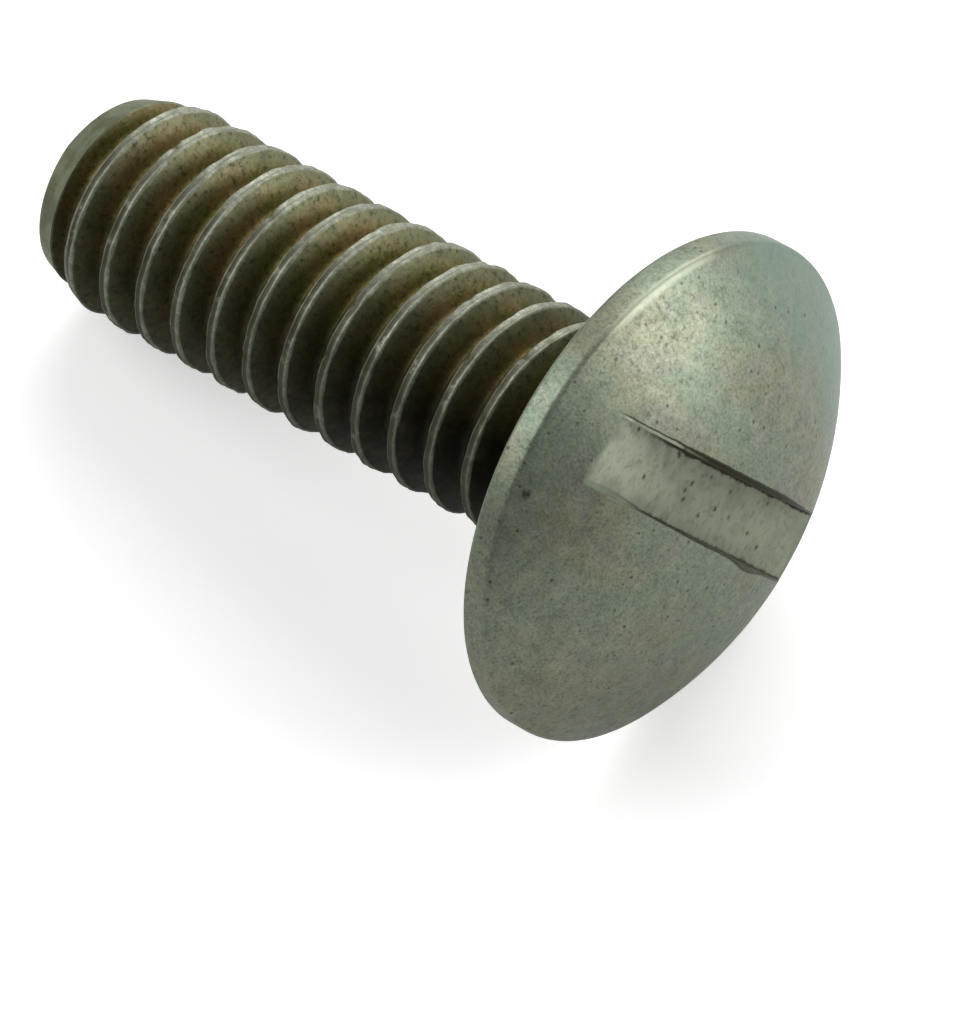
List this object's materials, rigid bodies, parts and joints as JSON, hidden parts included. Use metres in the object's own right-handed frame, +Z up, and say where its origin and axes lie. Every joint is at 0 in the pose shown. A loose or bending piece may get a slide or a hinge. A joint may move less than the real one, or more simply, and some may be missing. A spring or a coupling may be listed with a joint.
{
  "type": "impeller screw",
  "caption": "Slotted truss-head machine screw with a left-hand thread up to its wide, low-domed head, lying on its side.",
  "frame": {"origin": "on the ground under the middle of the screw's length, as it lies on the edge of its head and on its thread", "axes": "+X along the ground towards the head, +Z up; the screw's axis lies in the XZ plane and climbs 12.87 degrees towards the head"},
  "size_m": [0.0226, 0.0142, 0.014],
  "materials": {
    "tarnished_steel": "stainless steel, dull grey-green with brown stain in the thread, fine pits, and bright crests"
  },
  "bodies": {
    "root": {"screw": "tarnished_steel"}
  },
  "joints": []
}
